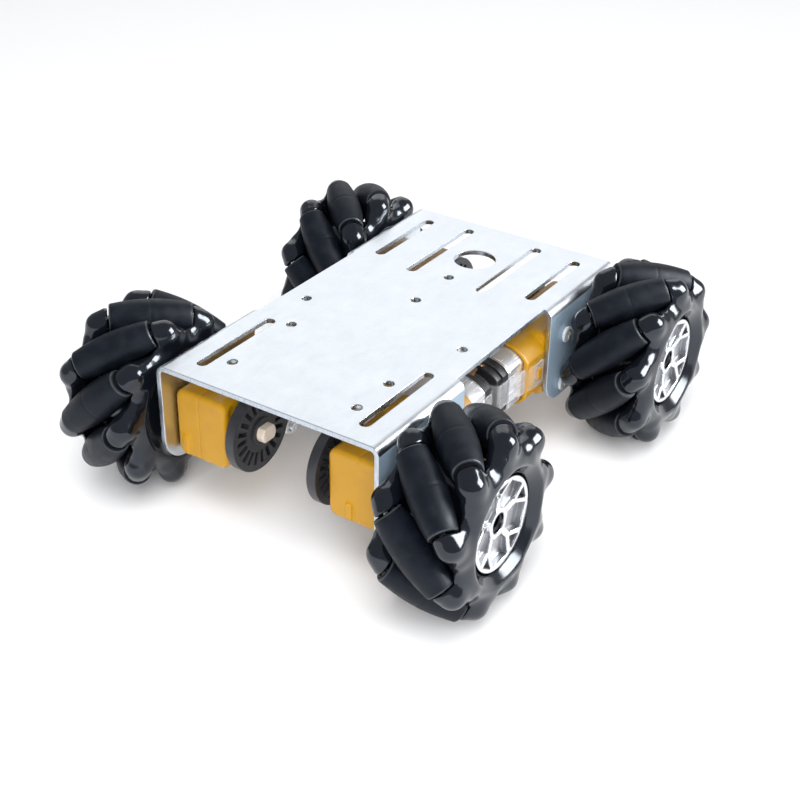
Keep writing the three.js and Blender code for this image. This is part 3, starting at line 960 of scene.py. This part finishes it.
def hub_mesh(hand):
    """Both halves of the hub as one skin: drum, flared rings and eighteen domed fingers."""
    voxel = 0.4
    low = (-15.6, -29.6, -29.6)
    high = (16.4, 29.6, 29.6)
    x, y, z = grid(low, high, voxel)
    radius = np.hypot(y, z)
    angle = np.arctan2(z, y)
    angle = (angle + PITCH / 2) % PITCH - PITCH / 2
    y, z = radius * np.cos(angle), radius * np.sin(angle)
    rings = np.minimum(polygon(radius, x, OUTBOARD_RING), polygon(radius, x, INBOARD_RING))
    field = blend(rings, polygon(radius, x, DRUM), 0.8)
    c = math.cos(TILT)
    # The grid as seen from this roller and from the two beside it
    neighbours = []
    for k in (-1, 0, 1):
        turn = k * PITCH
        neighbours.append((x, y * math.cos(turn) + z * math.sin(turn),
                           z * math.cos(turn) - y * math.sin(turn)))
    for end in (-1, 1):
        axis = np.array([c, 0, hand * c]) * end
        step = INBOARD_STEP if end < 0 else 0
        root = finger_spot(FINGER_ROOT, 0, end, hand)
        knuckle = finger_spot(FINGER_KNUCKLE, step / 2, end, hand)
        base = finger_spot(FINGER_BASE, step, end, hand)
        for q in neighbours:
            along = q[0] * axis[0] + q[2] * axis[2]
            upper = cone(q, root, knuckle, ROOT_RADIUS, KNUCKLE_RADIUS)
            lower = cone(q, knuckle, base, KNUCKLE_RADIUS, BASE_RADIUS)
            thumb = blend(upper, lower, 1.2)
            field = blend(field, np.maximum(thumb, ROLLER_HALF + 0.3 - along), 3.2)
    field = smoothed(field, 3)
    # Room for the rollers
    for q in neighbours:
        along = c * q[0] + hand * c * q[2]
        square = q[0] ** 2 + (q[1] - ROLLER_ORBIT) ** 2 + q[2] ** 2 - along**2
        away = np.sqrt(np.maximum(square, 0))
        clearance = np.maximum(away - roller_radius(along) - 0.3,
                               np.abs(along) - ROLLER_HALF - 0.35)
        field = cut(field, clearance, 0.25)
    for mouth in (OUTBOARD_MOUTH, INBOARD_MOUTH):
        field = cut(field, polygon(radius, x, mouth), 0.5)
    return surface(f"hub_{hand}", field, low, voxel, 60)


def cap_front(radius):
    """The height of the cap's front, which sinks towards its middle."""
    return CAP_FRONT - CAP_SINK * np.clip(1 - (radius / CAP_SINK_RADIUS) ** 2, 0, 1)


def cap_mesh():
    """Chromed insert: forked spokes over a satin dish, curved inwards to a hollow middle."""
    voxel = 0.2
    low = (9.3, -14.6, -14.6)
    high = (13.6, 14.6, 14.6)
    x, y, z = grid(low, high, voxel)
    radius = np.hypot(y, z)
    angle = np.arctan2(z, y)
    pitch = 2 * math.pi / SPOKES
    angle = np.abs((angle + pitch / 2) % pitch - pitch / 2)
    u, v = radius * np.cos(angle), radius * np.sin(angle)

    def polar(points):
        return [(r * math.cos(math.radians(a)), r * math.sin(math.radians(a))) for r, a in points]

    # A window between two spokes and the notch in a spoke, as (radius, degrees from the spoke)
    half = [(4.9, 14.0), (8.6, 7.0), (CAP_RIM, 18.8)]
    window = polar(half + [(r, 360 / SPOKES - a) for r, a in half[::-1]])
    notch = polar([(9.6, 0), (CAP_RIM, 11.8), (CAP_RIM, -11.8)])
    holes = np.minimum(polygon(u, v, window), polygon(u, v, notch)) + 0.25
    holes = np.maximum(holes, radius - CAP_RIM) - 0.25
    sheet = np.maximum(radius - CAP_RADIUS, CAP_HOLE - radius)
    front = np.maximum(cap_front(radius), np.where(radius < 4.7, 11.75, 0))
    spokes = slab(np.maximum(sheet, -holes), x - front, -3.5, 0, 0.28)
    dish = slab(sheet, x, CAP_BACK, CAP_BACK + 0.6, 0.1)
    field = np.maximum(np.minimum(spokes, dish), CAP_BACK - x)
    mesh = surface("hub_cap", field, low, voxel, 60)
    for face in mesh.polygons:
        r = math.hypot(face.center.y, face.center.z) / MM
        deep = face.center.x / MM < cap_front(r) - SATIN_DEPTH
        face.material_index = 1 if r < SATIN_RADIUS and deep else 0
    return mesh


def build_wheels():
    hubs = {hand: hub_mesh(hand) for hand in (1, -1)}
    cap = cap_mesh()
    roller = roller_mesh()
    ends = [(0.001, -PIN_HALF), (PIN_RADIUS, -PIN_HALF), (PIN_RADIUS, PIN_HALF), (0.001, PIN_HALF)]
    pin = lathe("pin", rounded(ends, 0.15), 24)
    for corner, side, end in CORNERS:
        hand = -side * end
        wheel_body = f"{corner}_wheel"
        centre = Vector(JOINTS[f"{corner}_wheel_spin"]["pos_m"])
        first = JOINTS[f"{corner}_roller_1_spin"]
        spin = frame_of((side, 0, 0), Vector(first["pos_m"]) - centre, centre)
        put(f"{corner}_hub", hubs[hand], spin, wheel_body, ["hub"],
            [f"{corner}_wheel_hub"])
        put(f"{corner}_cap", cap, spin, wheel_body, ["chrome", "satin"],
            [f"{corner}_hub_cap"])
        for i in range(1, ROLLERS + 1):
            joint = JOINTS[f"{corner}_roller_{i}_spin"]
            origin = Vector(joint["pos_m"])
            seat = frame_of(joint["axis"], origin - centre, origin)
            put(f"{corner}_roller_{i}_sleeve", roller, seat, f"{corner}_roller_{i}",
                ["rubber", "rubber_rim_painted_highlight", "core"], [f"{corner}_roller_{i}"])
            put(f"{corner}_roller_pin_{i}", pin, seat, wheel_body, ["steel"])


# ---- Camera, floor and light ----


CAMERA_TURN = (33.19, 31.21, 0.96)  # azimuth, elevation and roll, in degrees
CAMERA_OFFSET = (-0.357, -27.84, 442.85)  # from the deck's top, along the camera's own axes
CAMERA_LENS = 64.47
FLOOR_HALF, FLOOR_BELOW = 3.0, 0.0002  # in metres
LIGHT_TARGET = (0, 0, 0.03)


def build_camera():
    """A long lens from the front right, above."""
    azimuth, elevation, roll = (math.radians(a) for a in CAMERA_TURN)
    offset = Vector(CAMERA_OFFSET) * MM
    back = Vector((
        math.sin(azimuth) * math.cos(elevation),
        -math.cos(azimuth) * math.cos(elevation),
        math.sin(elevation),
    ))
    right = Vector((0, 0, 1)).cross(back).normalized()
    up = back.cross(right)
    turned = right * math.cos(roll) + up * math.sin(roll)
    up = -right * math.sin(roll) + up * math.cos(roll)
    axes = Matrix((turned, up, back)).transposed()
    data = bpy.data.cameras.new("camera")
    data.lens = CAMERA_LENS
    data.sensor_width = 36
    data.clip_start = 0.01
    data.clip_end = 20
    camera = bpy.data.objects.new("camera", data)
    SCENE.collection.objects.link(camera)
    low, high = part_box("chassis_plate")
    target = Vector(((low.x + high.x) / 2, (low.y + high.y) / 2, high.z))
    matrix = axes.to_4x4()
    matrix.translation = target + axes @ offset
    camera.matrix_world = matrix
    SCENE.camera = camera


def build_floor():
    look = Look("pale_floor", (0.86, 0.86, 0.87), 0.75)
    look.bump(look.noise(1.5, 3), 0.03)
    half = FLOOR_HALF
    mesh = bpy.data.meshes.new("floor")
    corners = [(-half, -half, 0), (half, -half, 0), (half, half, 0), (-half, half, 0)]
    mesh.from_pydata(corners, [], [(0, 1, 2, 3)])
    mesh.materials.append(look.material)
    floor = bpy.data.objects.new("floor", mesh)
    SCENE.collection.objects.link(floor)
    floor.location.z = CAD_BOX[0].z - FLOOR_BELOW


def area_light(name, place, size, power, diffuse=True, glossy=True):
    """A rectangular softbox, which may be left out of soft light or of reflections."""
    data = bpy.data.lights.new(name, "AREA")
    data.shape = "RECTANGLE"
    data.size, data.size_y = size
    data.energy = power
    light = bpy.data.objects.new(name, data)
    light.visible_diffuse = diffuse
    light.visible_glossy = glossy
    SCENE.collection.objects.link(light)
    light.location = place
    towards = Vector(LIGHT_TARGET) - Vector(place)
    light.rotation_euler = towards.to_track_quat("-Z", "Y").to_euler()


def build_lights():
    """Soft light from above, a wide panel that the deck mirrors, and a softbox for gloss."""
    area_light("overhead", (0.3, -0.45, 1.15), (0.9, 0.9), 15, glossy=False)
    area_light("fill", (0.56, -0.86, 0.6), (0.6, 0.5), 9, glossy=False)
    area_light("panel", (-0.66, 1.02, 0.78), (1.3, 1.1), 4.8)
    area_light("softbox", (0.67, 0.34, 0.43), (0.5, 0.54), 17, diffuse=False)
    area_light("side", (1.0, 0.3, 0.3), (0.6, 0.4), 4, glossy=False)
    world = bpy.data.worlds.new("studio")
    SCENE.world = world
    world.use_nodes = True
    background = world.node_tree.nodes["Background"]
    background.inputs["Color"].default_value = (0.94, 0.97, 1.0, 1)
    background.inputs["Strength"].default_value = 0.36
    SCENE.view_settings.view_transform = "Standard"


build_camera()
build_floor()
build_lights()
build_deck()
build_motors()
build_wheels()
